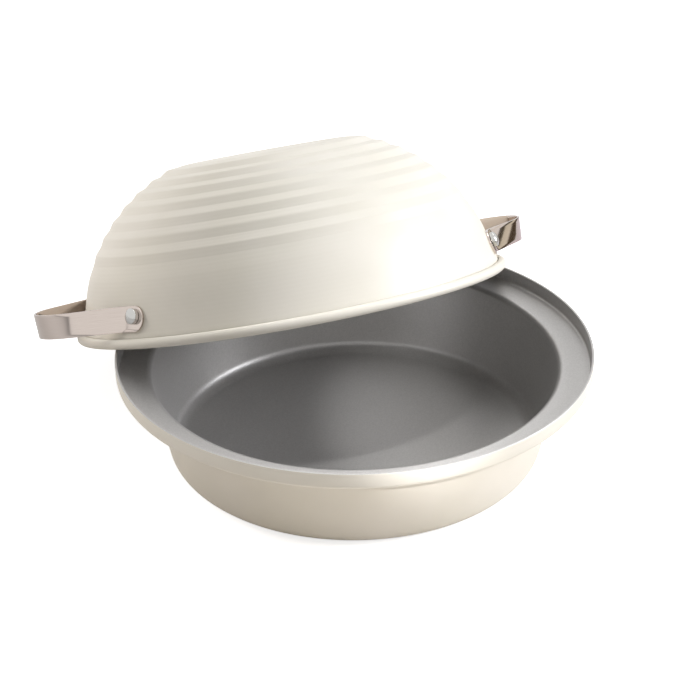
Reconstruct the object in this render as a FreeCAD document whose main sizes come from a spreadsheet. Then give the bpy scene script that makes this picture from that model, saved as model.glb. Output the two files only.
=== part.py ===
import FreeCAD, Part
import math
import os

import Sketcher

# Bread cloche: a flanged baking pan and its ribbed dome lid, both spun from
# sheet steel, with two bent strap handles riveted to the lid.
# Millimetres, +Z up. The origin is the centre of the pan's foot, on the table.
# The lid leans behind the pan. The lowest point of its rolled rim is on the
# table, and the rim rests on the pan's lip at two points.

Vector = FreeCAD.Vector
UP = Vector(0, 0, 1)

doc = FreeCAD.newDocument("bread_cloche")

# Driving sizes. Radii are of the outer side of the sheet unless the note says
# otherwise. Heights of the pan are above the table, and heights of the lid are
# above the plane that the lid stands on when it is upright.
SIZES = [
    ("pan_height", 70.1, "table to the top of the lip"),
    ("pan_wall", 1.5, "thickness of the pan's sheet"),
    ("foot_radius", 118.0, "flat foot and wall lines drawn to a sharp corner"),
    ("floor_corner", 11.0, "outer rounding between floor and wall"),
    ("well_radius", 129.6, "top of the sloped wall"),
    ("ledge_height", 58.9, "underside of the ledge at the wall"),
    ("ledge_rise", 0.5, "rise of the ledge from wall to lip"),
    ("shoulder_round", 2.5, "outer rounding between wall and ledge"),
    ("rim_radius", 150.0, "upright lip"),
    ("rim_corner", 3.0, "outer rounding between ledge and lip"),
    ("lip_break", 0.4, "bevel of the lip's cut edge, each side"),
    ("lid_wall", 1.2, "thickness of the lid's sheet"),
    ("dome_radius", 111.7, "arc of the dome's flank, at the middle of the ribs"),
    ("dome_drop", 2.35, "centre of that arc below the lid's base plane"),
    ("wall_lean", 14.0, "degrees, slope of the dome's lower wall"),
    ("rib_count", 8, "spun ribs, counting the edge of the flat top"),
    ("rib_angle", 68.0, "degrees, riser below the second rib on the arc"),
    ("rib_step", 6.4, "degrees between ribs on the arc"),
    ("riser_angle", 3.2, "degrees of arc that a riser takes"),
    ("rib_depth", 1.5, "crest to valley, at the top rib"),
    ("rib_fade", 0.09, "loss of depth from each rib to the next one down"),
    ("crest_round", 5.0, "rounding of the crests"),
    ("crown_step", 4.6, "edge of the flat top inside the first valley"),
    ("crown_lift", 0.7, "flat top above the first valley"),
    ("smooth_angle", 23.5, "degrees on the arc where the ribs have run out"),
    ("neck_height", 6.6, "foot of the sloped wall above the rolled rim"),
    ("neck_radius", 141.4, "upright neck between wall and rolled rim"),
    ("bead_radius", 3.2, "rolled rim, outer radius of the roll"),
    ("bead_turn", 292.0, "degrees that the sheet is rolled through"),
    ("lean_angle", 22.55, "degrees between the lid's axis and the vertical"),
    ("lean_heading", 115.34, "degrees from +X to the low side of the lid"),
    ("rest_gap", 0.3, "between the rolled rim and the lip it rests on"),
    ("handle_heading", 87.1, "degrees on the lid from its low side to the handle"),
    ("handle_height", 18.2, "middle of the strap above the lid's base plane"),
    ("grip_depth", 34.5, "sloped wall to the outside of the grip"),
    ("strap_width", 15.8, "height of the strap"),
    ("strap_thickness", 1.5, "sheet of the strap"),
    ("grip_share", 0.63, "outer bend of the grip, share of half the way between its rivets"),
    ("grip_rise", 1.4, "grip above the level of the rivets"),
    ("grip_tilt", -4.5, "degrees, lean of the grip's face towards the lid"),
    ("foot_bend", 20.0, "inner bend between a strap's foot and its leg"),
    ("foot_lead", 7.0, "rivet's axis to the bend of the leg"),
    ("end_margin", 0.2, "rounding of the strap's end beyond half its width"),
    ("seat_gap", 0.1, "between riveted pieces"),
    ("rivet_angle", 27.4, "degrees on the lid from the grip to a rivet"),
    ("rivet_lift", 1.3, "rivet's axis above the middle of the strap"),
    ("rivet_head", 5.0, "radius of the outer head"),
    ("rivet_edge", 2.6, "straight side of the outer head"),
    ("rivet_dome", 2.1, "dome of the outer head above its side"),
    ("shank_radius", 2.2, "rivet's shank"),
    ("set_radius", 3.9, "radius of the head set inside the lid"),
    ("set_height", 1.3, "height of the head set inside the lid"),
]

sheet = doc.addObject("Spreadsheet::Sheet", "sizes")
for row, (alias, amount, note) in enumerate(SIZES, start=1):
    sheet.set("A%d" % row, alias)
    sheet.set("B%d" % row, str(amount))
    sheet.setAlias("B%d" % row, alias)
    sheet.set("C%d" % row, note)
doc.recompute()


def number(expression):
    """The value of an expression in the sheet's sizes."""
    return float(sheet.evalExpression(expression))


def cosine(degrees):
    return "cos((%s) * 1deg)" % degrees


def sine(degrees):
    return "sin((%s) * 1deg)" % degrees


def tangent(degrees):
    return "tan((%s) * 1deg)" % degrees


def origin_plane(body, role):
    """One of the body's own origin planes."""
    return [item for item in body.Origin.OriginFeatures if item.Role == role][0]


def counterclockwise(centre, radius, start, end):
    """Arc of a circle from start round to end, against the clock."""
    first = math.atan2(start.y - centre.y, start.x - centre.x)
    last = math.atan2(end.y - centre.y, end.x - centre.x)
    if last < first:
        last += 2.0 * math.pi
    return Part.ArcOfCircle(Part.Circle(centre, UP, radius), first, last)


def arc_between(start, end, radius):
    """Circle arc from start to end that bulges to the left of the way there."""
    along = end - start
    left = Vector(-along.y, along.x, 0).normalize()
    rise = math.sqrt(max(radius * radius - along.Length ** 2 / 4.0, 0.0))
    return counterclockwise((start + end) * 0.5 - left * rise, radius, end, start)


def corner_arc(before, corner, after, radius):
    """Tangent arc in a corner, its first and last point on the way round the
    corner, and whether that way turns against the clock."""
    back = (before - corner).normalize()
    ahead = (after - corner).normalize()
    half = math.acos(max(-1.0, min(1.0, back.dot(ahead)))) / 2.0
    centre = corner + (back + ahead).normalize() * (radius / math.sin(half))
    first = corner + back * (radius / math.tan(half))
    last = corner + ahead * (radius / math.tan(half))
    leftward = back.cross(ahead).z < 0
    ends = (first, last) if leftward else (last, first)
    return counterclockwise(centre, radius, ends[0], ends[1]), first, last, leftward


def named_constraint(sketch, name, constraint, expression=None):
    sketch.renameConstraint(sketch.addConstraint(constraint), name)
    if expression is not None:
        sketch.setExpression("Constraints." + name, expression)


def place_point(sketch, geometry, end, label, across, upward):
    """Ties a point of the sketch to two expressions, its place across and up."""
    if across == "0" and upward == "0":
        sketch.addConstraint(Sketcher.Constraint("Coincident", geometry, end, -1, 1))
        return
    for kind, axis, expression in (("DistanceX", -2, across), ("DistanceY", -1, upward)):
        if expression == "0":
            sketch.addConstraint(Sketcher.Constraint("PointOnObject", geometry, end, axis))
            continue
        way = "across" if kind == "DistanceX" else "up"
        constraint = Sketcher.Constraint(kind, -1, 1, geometry, end, number(expression))
        named_constraint(sketch, "%s_%s" % (label, way), constraint, expression)


def section_line(sketch, corners, closed):
    """Lines and arcs through corners, each given as (across, up) in expressions.

    A third entry ("round", radius) rounds the corner with a tangent arc. A third
    entry ("arc", radius) leads on to the next corner by an arc that bulges to the
    left. A closed line runs on from the last corner to the first.
    """
    points = [Vector(number(corner[0]), number(corner[1]), 0) for corner in corners]
    count = len(corners)
    spans = count if closed else count - 1
    rounds = {}
    for index, corner in enumerate(corners):
        if len(corner) == 3 and corner[2][0] == "round":
            before = points[index - 1]
            after = points[(index + 1) % count]
            rounds[index] = corner_arc(before, points[index], after, number(corner[2][1]))
    lines = []
    for index in range(spans):
        corner = corners[index]
        following = (index + 1) % count
        start = rounds[index][2] if index in rounds else points[index]
        end = rounds[following][1] if following in rounds else points[following]
        if len(corner) == 3 and corner[2][0] == "arc":
            radius = number(corner[2][1])
            geometry = sketch.addGeometry(arc_between(start, end, radius), False)
            constraint = Sketcher.Constraint("Radius", geometry, radius)
            named_constraint(sketch, "arc_%d" % index, constraint, corner[2][1])
            lines.append((geometry, 2, 1))
        else:
            geometry = sketch.addGeometry(Part.LineSegment(start, end), False)
            lines.append((geometry, 1, 2))
    for index, corner in enumerate(corners):
        label = "corner_%d" % index
        before = lines[index - 1] if closed or index > 0 else None
        after = lines[index] if index < spans else None
        if index in rounds:
            round_corner(sketch, label, corner, points[index], rounds[index], before, after)
            continue
        if before is not None and after is not None:
            sketch.addConstraint(
                Sketcher.Constraint("Coincident", before[0], before[2], after[0], after[1]))
        if after is not None:
            place_point(sketch, after[0], after[1], label, corner[0], corner[1])
        else:
            place_point(sketch, before[0], before[2], label, corner[0], corner[1])
    return sketch


def round_corner(sketch, label, corner, point, rounding, before, after):
    """Draws the tangent arc of a rounded corner, with the sharp corner kept as a
    construction point on both lines."""
    arc, first, last, leftward = rounding
    first_end, last_end = (1, 2) if leftward else (2, 1)
    bend = sketch.addGeometry(arc, False)
    pole = sketch.addGeometry(Part.Point(point), True)
    place_point(sketch, pole, 1, label, corner[0], corner[1])
    sketch.addConstraint(Sketcher.Constraint("PointOnObject", pole, 1, before[0]))
    sketch.addConstraint(Sketcher.Constraint("PointOnObject", pole, 1, after[0]))
    sketch.addConstraint(Sketcher.Constraint("Tangent", before[0], before[2], bend, first_end))
    sketch.addConstraint(Sketcher.Constraint("Tangent", bend, last_end, after[0], after[1]))
    constraint = Sketcher.Constraint("Radius", bend, number(corner[2][1]))
    named_constraint(sketch, label + "_round", constraint, corner[2][1])


def section_in(body, name):
    """Empty sketch on the body's own XZ plane, for a turned piece."""
    sketch = body.newObject("Sketcher::SketchObject", name)
    sketch.AttachmentSupport = [(origin_plane(body, "XZ_Plane"), "")]
    sketch.MapMode = "FlatFace"
    return sketch


def turned_sheet(name, corners, thickness):
    """Body that starts as a sheet turned about Z. Its outer line runs from the axis
    outwards, and the thickness is signed towards the inside."""
    line = doc.addObject("Sketcher::SketchObject", name + "_line")
    line.Placement = FreeCAD.Placement(Vector(), FreeCAD.Rotation(Vector(1, 0, 0), 90))
    section_line(line, corners, False)
    section = doc.addObject("Part::Offset2D", name + "_section")
    section.Source = line
    section.Mode = "Skin"
    section.Join = "Intersection"
    section.Fill = True
    section.setExpression("Value", thickness)
    blank = doc.addObject("Part::Revolution", name + "_turned")
    blank.Source = section
    blank.Axis = UP
    blank.Base = Vector()
    blank.Angle = 360.0
    blank.Solid = True
    for item in (line, section, blank):
        item.Visibility = False
    body = new_body(name)
    body.BaseFeature = blank
    doc.recompute()
    return body


def turned(body, name, sketch):
    """Full turn of a section about the body's Z axis."""
    feature = body.newObject("PartDesign::Revolution", name)
    feature.Profile = sketch
    feature.ReferenceAxis = (sketch, ["V_Axis"])
    feature.Angle = 360.0
    sketch.Visibility = False
    doc.recompute()
    return feature


def ring_edges(feature, rings):
    """Names of the feature's full circles with the given radii and heights."""
    names = []
    for index, edge in enumerate(feature.Shape.Edges, start=1):
        if not isinstance(edge.Curve, Part.Circle):
            continue
        for radius, height in rings:
            near = abs(edge.Curve.Radius - radius) < 0.01
            if near and abs(edge.Curve.Center.z - height) < 0.01:
                names.append("Edge%d" % index)
    return names


def new_body(name):
    body = doc.addObject("PartDesign::Body", name)
    body.Label = name
    doc.recompute()
    return body


# Pan: one drawn sheet with a flat floor, a sloped wall, a ledge that the closed
# lid stands on, and an upright lip around it.
def make_pan():
    body = turned_sheet("base_pan", [
        ("0", "0"),
        ("sizes.foot_radius", "0", ("round", "sizes.floor_corner")),
        ("sizes.well_radius", "sizes.ledge_height", ("round", "sizes.shoulder_round")),
        ("sizes.rim_radius", "sizes.ledge_height + sizes.ledge_rise",
         ("round", "sizes.rim_corner")),
        ("sizes.rim_radius", "sizes.pan_height"),
    ], "sizes.pan_wall")
    pressed = body.Tip
    height = number("sizes.pan_height")
    lip = [(number("sizes.rim_radius"), height),
           (number("sizes.rim_radius - sizes.pan_wall"), height)]
    bevel = body.newObject("PartDesign::Chamfer", "lip_bevel")
    bevel.Base = (pressed, ring_edges(pressed, lip))
    bevel.setExpression("Size", "sizes.lip_break")
    doc.recompute()
    return body


# Centre of the arc of the dome's flank. The sloped lower wall leaves the arc at
# wall_lean and ends on the neck.
ARC_ACROSS = ("(sizes.neck_radius - sizes.dome_radius * %s"
              " - (sizes.dome_radius * %s - sizes.dome_drop - sizes.neck_height) * %s)"
              % (cosine("sizes.wall_lean"), sine("sizes.wall_lean"),
                 tangent("sizes.wall_lean")))
ARC_UP = "(-sizes.dome_drop)"


def on_dome(angle, offset):
    """Point at an angle on the dome's arc, offset outwards from it."""
    reach = "(sizes.dome_radius + %s)" % offset
    return ("%s + %s * %s" % (ARC_ACROSS, reach, cosine(angle)),
            "%s + %s * %s" % (ARC_UP, reach, sine(angle)))


def wall_radius(height):
    """Outer radius of the dome's sloped lower wall at a height."""
    return "(sizes.neck_radius - (%s - sizes.neck_height) * %s)" % (
        height, tangent("sizes.wall_lean"))


# Lid: one spun sheet. From the flat crown down, each rib is a sloping tread, a
# rounded crest and a steeper riser. Below them come the smooth flank, the sloped
# wall, a short neck and the rim, rolled outwards into a hollow bead.
def make_lid():
    valleys = []
    crests = []
    for rib in range(int(number("sizes.rib_count"))):
        riser = "sizes.rib_angle - %d * sizes.rib_step" % (rib - 1)
        half_depth = "(sizes.rib_depth - %d * sizes.rib_fade) / 2" % rib
        valleys.append(on_dome(riser + " - sizes.riser_angle / 2", "(-%s)" % half_depth))
        crests.append(on_dome(riser + " + sizes.riser_angle / 2", half_depth))
    crown_height = valleys[0][1] + " + sizes.crown_lift"
    crests[0] = (valleys[0][0] + " - sizes.crown_step", crown_height)
    corners = [("0", crown_height)]
    for crest, valley in zip(crests, valleys):
        corners.append(crest + (("round", "sizes.crest_round"),))
        corners.append(valley)
    corners.append(on_dome("sizes.smooth_angle", "0") + (("arc", "sizes.dome_radius"),))
    corners.append(on_dome("sizes.wall_lean", "0"))
    corners.append(("sizes.neck_radius", "sizes.neck_height"))
    corners.append(("sizes.neck_radius", "sizes.bead_radius"))
    body = turned_sheet("lid_shell", corners, "-sizes.lid_wall")
    turned(body, "rolled_rim", bead_section(body))
    return body


def bead_section(body):
    """Section of the rolled rim: the sheet curled outwards about the bead's centre."""
    sketch = section_in(body, "bead_outline")
    middle = Vector(bead_centre_radius(), number("sizes.bead_radius"), 0)
    start = math.pi
    end = math.pi + math.radians(number("sizes.bead_turn"))
    outer_radius = number("sizes.bead_radius")
    inner_radius = number("sizes.bead_radius - sizes.lid_wall")
    arcs = []
    for radius in (outer_radius, inner_radius):
        circle = Part.Circle(middle, UP, radius)
        arcs.append(sketch.addGeometry(Part.ArcOfCircle(circle, start, end), False))
    outer, inner = arcs
    caps = []
    for angle in (start, end):
        spoke = Vector(math.cos(angle), math.sin(angle), 0)
        line = Part.LineSegment(middle + spoke * outer_radius, middle + spoke * inner_radius)
        caps.append(sketch.addGeometry(line, False))
    for cap, end_of_arc in zip(caps, (1, 2)):
        sketch.addConstraint(Sketcher.Constraint("Coincident", cap, 1, outer, end_of_arc))
        sketch.addConstraint(Sketcher.Constraint("Coincident", cap, 2, inner, end_of_arc))
    sketch.addConstraint(Sketcher.Constraint("Coincident", outer, 3, inner, 3))
    sketch.addConstraint(Sketcher.Constraint("Horizontal", caps[0]))
    place_point(sketch, outer, 3, "middle", BEAD_ACROSS, "sizes.bead_radius")
    named = (
        ("roll_radius", Sketcher.Constraint("Radius", outer, outer_radius),
         "sizes.bead_radius"),
        ("roll_inside", Sketcher.Constraint("Radius", inner, inner_radius),
         "sizes.bead_radius - sizes.lid_wall"),
        ("roll_turn", Sketcher.Constraint("Angle", outer, end - start),
         "sizes.bead_turn * 1deg"),
    )
    for name, constraint, expression in named:
        named_constraint(sketch, name, constraint, expression)
    return sketch


BEAD_ACROSS = "(sizes.neck_radius - sizes.lid_wall + sizes.bead_radius)"


def bead_centre_radius():
    """Radius of the circle that the rolled rim's centre runs on."""
    return number(BEAD_ACROSS)


# Place of the leaning lid.
def lid_axes():
    """Level, downhill and axial directions of the leaning lid."""
    lean = math.radians(number("sizes.lean_angle"))
    heading = math.radians(number("sizes.lean_heading"))
    forward = Vector(math.cos(heading), math.sin(heading), 0)
    axis = forward * math.sin(lean) + UP * math.cos(lean)
    level = Vector(-math.sin(heading), math.cos(heading), 0)
    return level.cross(axis), level, axis, forward


def lid_centre_height():
    """Height of the lid's base plane on its axis, with the rolled rim on the table."""
    lean = math.radians(number("sizes.lean_angle"))
    roll = number("sizes.bead_radius")
    return bead_centre_radius() * math.sin(lean) + roll * (1.0 - math.cos(lean))


def bead_to_lip(reach):
    """Least distance from the rolled rim's centre line to the lip's, for a lid
    whose base centre is at the given distance from the pan's axis."""
    downhill, level, axis, forward = lid_axes()
    base = forward * reach + UP * lid_centre_height()
    roll = number("sizes.bead_radius")
    roll_circle = bead_centre_radius()
    half_lip = number("sizes.pan_wall") / 2.0
    lip_radius = number("sizes.rim_radius") - half_lip
    lip_height = number("sizes.pan_height") - half_lip
    least = lip_radius
    steps = 1440
    for step in range(steps):
        turn = 2.0 * math.pi * step / steps
        spoke = downhill * math.cos(turn) + level * math.sin(turn)
        point = base + spoke * roll_circle + axis * roll
        beside = math.hypot(point.x, point.y) - lip_radius
        least = min(least, math.hypot(beside, point.z - lip_height))
    return least


def lid_reach():
    """Distance from the pan's axis to the lid's base centre at which the rolled
    rim comes to rest on the lip. The lid is brought in from clear of the pan in
    whole steps, and the last step is then halved. A lid too wide to rest on the
    lip stays where it began."""
    wanted = number("sizes.bead_radius + sizes.pan_wall / 2 + sizes.rest_gap")
    start = number("sizes.rim_radius")
    step = 1.0
    touching = start
    while touching > 0 and bead_to_lip(touching) > wanted:
        touching -= step
    if touching <= 0:
        return start
    clear = touching + step
    while clear - touching > 0.0005:
        middle = (clear + touching) / 2.0
        if bead_to_lip(middle) > wanted:
            clear = middle
        else:
            touching = middle
    return clear


def lid_placement():
    """Frame of the leaning lid: X downhill, Y level, Z along the lid's axis."""
    downhill, level, axis, forward = lid_axes()
    base = forward * lid_reach() + UP * lid_centre_height()
    turn = FreeCAD.Rotation(downhill, level, axis, "ZXY")
    return FreeCAD.Placement(base, turn)


# A rivet sits a little above the middle of the strap. The grip's reach is taken
# from the wall at the strap's height, and the end's rounding from the strap's width.
RIVET_HEIGHT = "(sizes.handle_height + sizes.rivet_lift)"
GRIP_REACH = "(%s + sizes.grip_depth)" % wall_radius("sizes.handle_height")
GRIP_ROUND = "(sizes.grip_share * %s * %s)" % (
    wall_radius("sizes.handle_height"), sine("sizes.rivet_angle"))
END_ROUND = "(sizes.strap_width / 2 + sizes.end_margin)"


# Handles: a flat strap bent into a bow. Its two feet lie on the sloped wall, so
# the strap's upper edge is nearer the lid's axis than its lower edge.
SIDES = (("left", 0.0, 1.0), ("right", 180.0, -1.0))


def handle_frame(turn):
    """Frame on the lid with X out through the grip and Z along the lid's axis."""
    heading = number("sizes.handle_heading") + turn
    lift = Vector(0, 0, number("sizes.handle_height"))
    return FreeCAD.Placement(lift, FreeCAD.Rotation(UP, heading))


def grip_slope():
    """Tilt that raises the grip above the rivets, about the line between them."""
    pivot = number(wall_radius("sizes.handle_height") + " * " + cosine("sizes.rivet_angle"))
    slope = math.atan2(number("sizes.grip_rise"), number(GRIP_REACH) - pivot)
    tilt = FreeCAD.Placement(Vector(), FreeCAD.Rotation(Vector(0, 1, 0), -math.degrees(slope)))
    out = FreeCAD.Placement(Vector(pivot, 0, 0), FreeCAD.Rotation())
    return out.multiply(tilt).multiply(out.inverse()), slope


def strap_line(name, frame, edge):
    """Inner face of the strap along its lower (-1) or upper (1) edge: a foot on
    the wall, a bend, a leg, the grip's bend, and the same again mirrored."""
    tilt, slope = grip_slope()
    half = edge * number("sizes.strap_width") / 2.0
    foot_slope = (number(tangent("sizes.wall_lean"))
                  - math.tan(slope) * number(cosine("sizes.rivet_angle")))
    foot_radius = (number(wall_radius("sizes.handle_height")) + number("sizes.seat_gap")
                   - half * foot_slope)
    bend = number("sizes.foot_bend") + number("sizes.strap_thickness")
    grip = number(GRIP_ROUND + " - sizes.strap_thickness")
    grip_middle = (number(GRIP_REACH + " - " + GRIP_ROUND)
                   - half * number(tangent("sizes.grip_tilt")))
    rivet = math.radians(number("sizes.rivet_angle"))
    tail = rivet + number(END_ROUND + " + sizes.strap_thickness") / foot_radius
    lead = rivet - number("sizes.foot_lead") / foot_radius

    bend_middle = Vector(math.cos(lead), math.sin(lead), 0) * (foot_radius + bend)
    grip_centre = Vector(grip_middle, 0, 0)
    apart = bend_middle - grip_centre
    facing = math.atan2(apart.y, apart.x) - math.acos((grip + bend) / apart.Length)
    normal = Vector(math.cos(facing), math.sin(facing), 0)
    leg = (bend_middle - normal * bend, grip_centre + normal * grip)

    sketch = doc.addObject("Sketcher::SketchObject", name)
    foot_circle = Part.Circle(Vector(), UP, foot_radius)
    parts = []
    for side in (1.0, -1.0):
        mirrored = [Vector(point.x, side * point.y, 0) for point in leg]
        middle = Vector(bend_middle.x, side * bend_middle.y, 0)
        bend_circle = Part.Circle(middle, UP, bend)
        if side > 0:
            foot_arc = Part.ArcOfCircle(foot_circle, lead, tail)
            bend_arc = Part.ArcOfCircle(bend_circle, math.pi + lead, math.pi + facing)
        else:
            foot_arc = Part.ArcOfCircle(foot_circle, -tail, -lead)
            bend_arc = Part.ArcOfCircle(bend_circle, math.pi - facing, math.pi - lead)
        parts.append([sketch.addGeometry(piece, False) for piece in (
            foot_arc, bend_arc, Part.LineSegment(mirrored[0], mirrored[1]))])
    grip_circle = Part.Circle(grip_centre, UP, grip)
    bow = sketch.addGeometry(Part.ArcOfCircle(grip_circle, -facing, facing), False)

    named = []
    for label, (foot, turn, line), near, far in (("first", parts[0], 1, 2),
                                                 ("second", parts[1], 2, 1)):
        sketch.addConstraint(Sketcher.Constraint("Coincident", foot, 3, -1, 1))
        sketch.addConstraint(Sketcher.Constraint("Tangent", foot, near, turn, near))
        sketch.addConstraint(Sketcher.Constraint("Tangent", turn, far, line, 1))
        sketch.addConstraint(Sketcher.Constraint("Tangent", line, 2, bow, far))
        sign = 1.0 if near == 1 else -1.0
        named += [
            (label + "_foot", Sketcher.Constraint("Radius", foot, foot_radius)),
            (label + "_bend", Sketcher.Constraint("Radius", turn, bend)),
            (label + "_tail", Sketcher.Constraint(
                "DistanceY", -1, 1, foot, far, sign * foot_radius * math.sin(tail))),
            (label + "_lead", Sketcher.Constraint(
                "DistanceY", -1, 1, foot, near, sign * foot_radius * math.sin(lead))),
        ]
    named += [
        ("grip", Sketcher.Constraint("Radius", bow, grip)),
        ("grip_place", Sketcher.Constraint("DistanceX", -1, 1, bow, 3, grip_middle)),
    ]
    for label, constraint in named:
        named_constraint(sketch, label, constraint)
    level = FreeCAD.Placement(Vector(0, 0, half), FreeCAD.Rotation())
    sketch.Placement = frame.multiply(tilt).multiply(level)
    return sketch


def make_handle(side, turn):
    frame = handle_frame(turn)
    faces = []
    for edge, label in ((-1, "lower"), (1, "upper")):
        line = strap_line("%s_%s_line" % (side, label), frame, edge)
        section = doc.addObject("Part::Offset2D", "%s_%s_edge" % (side, label))
        section.Source = line
        section.Mode = "Skin"
        section.Join = "Intersection"
        section.Fill = True
        section.setExpression("Value", "sizes.strap_thickness")
        faces.append(section)
    strap = doc.addObject("Part::Loft", side + "_strap")
    strap.Sections = faces
    strap.Solid = True
    strap.Ruled = True
    doc.recompute()

    body = new_body(side + "_handle")
    body.BaseFeature = strap
    doc.recompute()
    tilt, slope = grip_slope()
    for place, way in (("near", 1.0), ("far", -1.0)):
        round_end(body, "%s_%s_end" % (side, place), frame.multiply(tilt), way)
    return body


def round_end(body, name, tilted, way):
    """Cuts one end of the strap round, about a point on the line of the rivet."""
    radius = number(END_ROUND)
    beyond = number("sizes.strap_width / 2 + sizes.seat_gap")
    far = radius + 3.0 * number("sizes.strap_thickness")
    near = math.sqrt(radius * radius - beyond * beyond)
    reach = number(wall_radius("sizes.handle_height"))
    aim = FreeCAD.Rotation(UP, way * number("sizes.rivet_angle"))
    beside = Vector(0, way, 0)
    facing = FreeCAD.Rotation(beside, UP, beside.cross(UP), "ZXY")
    foot = FreeCAD.Placement(aim.multVec(Vector(reach, 0, 0)), aim.multiply(facing))
    sketch = body.newObject("Sketcher::SketchObject", name + "_outline")
    sketch.AttachmentSupport = [(origin_plane(body, "XY_Plane"), "")]
    sketch.MapMode = "FlatFace"
    sketch.AttachmentOffset = tilted.multiply(foot)
    start = math.atan2(-beyond, near)
    arc = sketch.addGeometry(
        Part.ArcOfCircle(Part.Circle(Vector(), UP, radius), start, -start), False)
    corners = [Vector(near, beyond, 0), Vector(far, beyond, 0),
               Vector(far, -beyond, 0), Vector(near, -beyond, 0)]
    lines = [sketch.addGeometry(Part.LineSegment(first, last), False)
             for first, last in zip(corners, corners[1:])]
    joins = ((arc, 2, lines[0], 1), (lines[0], 2, lines[1], 1),
             (lines[1], 2, lines[2], 1), (lines[2], 2, arc, 1))
    for join in joins:
        sketch.addConstraint(Sketcher.Constraint("Coincident", *join))
    sketch.addConstraint(Sketcher.Constraint("Coincident", arc, 3, -1, 1))
    sketch.addConstraint(Sketcher.Constraint("Horizontal", lines[0]))
    sketch.addConstraint(Sketcher.Constraint("Horizontal", lines[2]))
    sketch.addConstraint(Sketcher.Constraint("Symmetric", lines[1], 1, lines[1], 2, -1))
    named = (
        ("round", Sketcher.Constraint("Radius", arc, radius), END_ROUND),
        ("width", Sketcher.Constraint("DistanceY", lines[1], 2, lines[1], 1, 2.0 * beyond),
         "sizes.strap_width + 2 * sizes.seat_gap"),
        ("far", Sketcher.Constraint("DistanceX", -1, 1, lines[1], 1, far),
         END_ROUND + " + 3 * sizes.strap_thickness"),
    )
    for label, constraint, expression in named:
        named_constraint(sketch, label, constraint, expression)
    cut = body.newObject("PartDesign::Pocket", name)
    cut.Profile = sketch
    cut.Type = "Length"
    cut.Midplane = True
    cut.setExpression("Length", "10 * sizes.strap_thickness")
    sketch.Visibility = False
    doc.recompute()
    return cut


def rivet_frame(turn, way):
    """Frame on the lid at a rivet: Z out along its axis, square to the wall."""
    angle = math.radians(number("sizes.handle_heading") + turn
                         + way * number("sizes.rivet_angle"))
    lean = math.radians(number("sizes.wall_lean"))
    spoke = Vector(math.cos(angle), math.sin(angle), 0)
    outward = spoke * math.cos(lean) + UP * math.sin(lean)
    beside = UP.cross(spoke)
    seat = (spoke * number(wall_radius(RIVET_HEIGHT))
            + UP * number(RIVET_HEIGHT))
    turned_frame = FreeCAD.Rotation(beside, outward.cross(beside), outward, "ZXY")
    return FreeCAD.Placement(seat, turned_frame)


def drill(body, name, frame):
    """Hole for a rivet's shank, square to the wall."""
    depth = 4.0 * number("sizes.strap_thickness + sizes.lid_wall")
    hole = body.newObject("PartDesign::SubtractiveCylinder", name)
    hole.setExpression("Radius", "sizes.shank_radius + sizes.seat_gap")
    hole.Height = depth
    hole.Placement = frame.multiply(
        FreeCAD.Placement(Vector(0, 0, -depth / 2.0), FreeCAD.Rotation()))
    doc.recompute()
    return hole


# Rivet: a domed outer head on the strap, a shank through strap and wall, and a
# lower head set inside the lid. Its own Z runs outwards from the set head's end.
def make_rivet(name):
    body = new_body(name)
    grip = ("sizes.set_height + sizes.lid_wall + sizes.strap_thickness"
            " + 3 * sizes.seat_gap")
    dome = "((sizes.rivet_head ^ 2 + sizes.rivet_dome ^ 2) / (2 * sizes.rivet_dome))"
    outline = section_line(section_in(body, name + "_outline"), [
        ("0", grip + " + sizes.rivet_edge + sizes.rivet_dome", ("arc", dome)),
        ("sizes.rivet_head", grip + " + sizes.rivet_edge"),
        ("sizes.rivet_head", grip),
        ("sizes.shank_radius", grip),
        ("sizes.shank_radius", "sizes.set_height"),
        ("sizes.set_radius", "sizes.set_height"),
        ("sizes.set_radius", "0"),
        ("0", "0"),
    ], True)
    turned(body, name + "_turned", outline)
    return body


pan = make_pan()
lid = make_lid()
lean = lid_placement()
pieces = [pan, lid]
for side, turn, front in SIDES:
    handle = make_handle(side, turn)
    for place, way in (("front", front), ("rear", -front)):
        frame = rivet_frame(turn, way)
        drill(lid, "%s_%s_lid_hole" % (side, place), frame)
        drill(handle, "%s_%s_strap_hole" % (side, place), frame)
        rivet = make_rivet("%s_%s_rivet" % (side, place))
        inset = number("sizes.set_height + sizes.lid_wall + sizes.seat_gap")
        seat = FreeCAD.Placement(Vector(0, 0, -inset), FreeCAD.Rotation())
        rivet.Placement = lean.multiply(frame).multiply(seat)
        pieces.append(rivet)
    handle.Placement = lean
    pieces.append(handle)
lid.Placement = lean
doc.recompute()

for item in doc.Objects:
    broken = [state for state in item.State if state in ("Invalid", "Error")]
    if broken:
        raise RuntimeError("%s is %s" % (item.Label, ", ".join(broken)))
for piece in pieces:
    if piece.Shape.isNull() or not piece.Shape.isValid():
        raise RuntimeError("%s has no valid solid" % piece.Label)

os.makedirs("parts", exist_ok=True)
for piece in pieces:
    piece.Shape.exportStep("parts/%s.step" % piece.Label)
    box = piece.Shape.BoundBox
    print(piece.Label, len(piece.Shape.Solids), "solid", round(piece.Shape.Volume, 1), "mm3",
          [round(value, 1) for value in (box.XMin, box.XMax, box.YMin, box.YMax, box.ZMin, box.ZMax)])
print("lid reach", round(lid_reach(), 3))
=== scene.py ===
"""Looks of a bread cloche: a flanged baking pan, a ribbed dome lid that leans on
it, and two riveted strap handles. Pieces are worked out in millimetres and put
into their meshes in metres, in the frame of the CAD model."""

import bpy
import numpy as np
from mathutils import Matrix, Vector


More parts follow.
